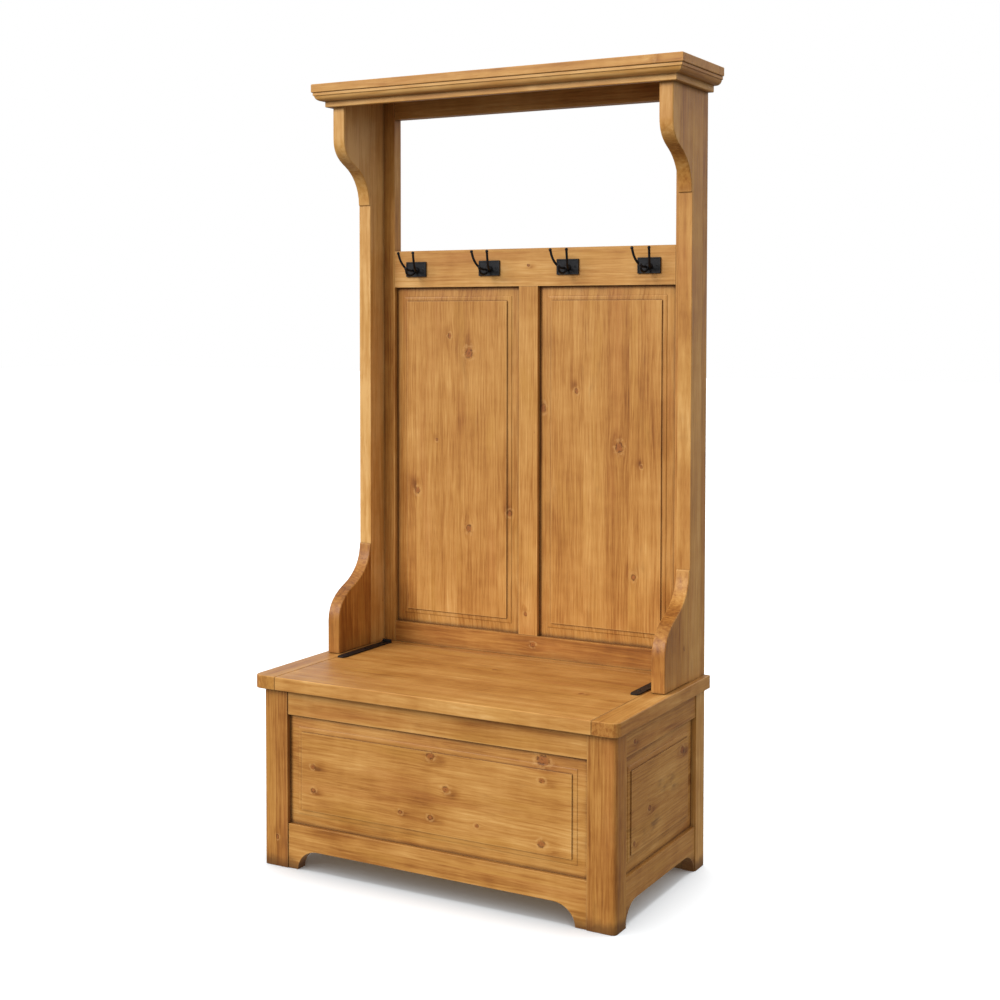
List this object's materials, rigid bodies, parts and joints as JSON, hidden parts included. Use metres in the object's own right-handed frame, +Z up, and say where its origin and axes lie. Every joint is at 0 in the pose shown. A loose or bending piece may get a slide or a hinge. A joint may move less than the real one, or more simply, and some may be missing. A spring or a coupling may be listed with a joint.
{
  "type": "hall bench",
  "caption": "Panelled pine hall bench: storage chest with a hinged seat lid, open panelled back with shaped sides, coat rail with iron hooks, and moulded cornice.",
  "frame": {"origin": "on the floor, under the middle of the bench", "axes": "+X to the right seen from the front, +Y to the wall, +Z up"},
  "size_m": [0.981, 0.514, 1.8525],
  "materials": {
    "waxed_pine": "antique wax, satin",
    "panel_pine": "antique wax, satin",
    "raw_pine": "bare, matt",
    "black_iron": "black, satin",
    "black_hinge": "black, satin"
  },
  "bodies": {
    "bench": {"leg_front_left": "waxed_pine", "leg_front_right": "waxed_pine", "leg_back_left": "waxed_pine", "leg_back_right": "waxed_pine", "front_top_rail": "waxed_pine", "front_bottom_rail": "waxed_pine", "back_top_rail": "waxed_pine", "back_bottom_rail": "waxed_pine", "left_top_rail": "waxed_pine", "left_bottom_rail": "waxed_pine", "right_top_rail": "waxed_pine", "right_bottom_rail": "waxed_pine", "seat_end_left": "waxed_pine", "seat_end_right": "waxed_pine", "seat_rear_strip": "waxed_pine", "side_post_left": "waxed_pine", "side_post_right": "waxed_pine", "wing_left": "waxed_pine", "wing_right": "waxed_pine", "bracket_left": "waxed_pine", "bracket_right": "waxed_pine", "back_stile_left": "waxed_pine", "back_stile_right": "waxed_pine", "back_lower_rail": "waxed_pine", "hook_rail": "waxed_pine", "header_rail": "waxed_pine", "back_muntin": "waxed_pine", "cornice_board": "waxed_pine", "cornice_moulding_front": "waxed_pine", "cornice_moulding_left": "waxed_pine", "cornice_moulding_right": "waxed_pine", "front_panel": "panel_pine", "left_panel": "panel_pine", "right_panel": "panel_pine", "back_panel_left": "panel_pine", "back_panel_right": "panel_pine", "chest_back_board": "raw_pine", "floor_bearer_front": "raw_pine", "floor_bearer_back": "raw_pine", "floor_board_1": "raw_pine", "floor_board_2": "raw_pine", "floor_board_3": "raw_pine", "floor_board_4": "raw_pine", "coat_hook_1": "black_iron", "coat_hook_2": "black_iron", "coat_hook_3": "black_iron", "coat_hook_4": "black_iron", "hinge_leaf_left": "black_hinge", "hinge_leaf_right": "black_hinge", "hinge_pin_left": "black_hinge", "hinge_pin_right": "black_hinge"},
    "lid": {"lid_board": "waxed_pine", "lid_batten_left": "raw_pine", "lid_batten_right": "raw_pine", "strap_hinge_left": "black_hinge", "strap_hinge_right": "black_hinge"}
  },
  "joints": [
    {"name": "lid_hinge", "type": "hinge", "parent": "bench", "child": "lid", "pos_m": [0, 0.197, 0.4548], "axis": [-1, 0, 0], "range_deg": [0, 94]}
  ]
}
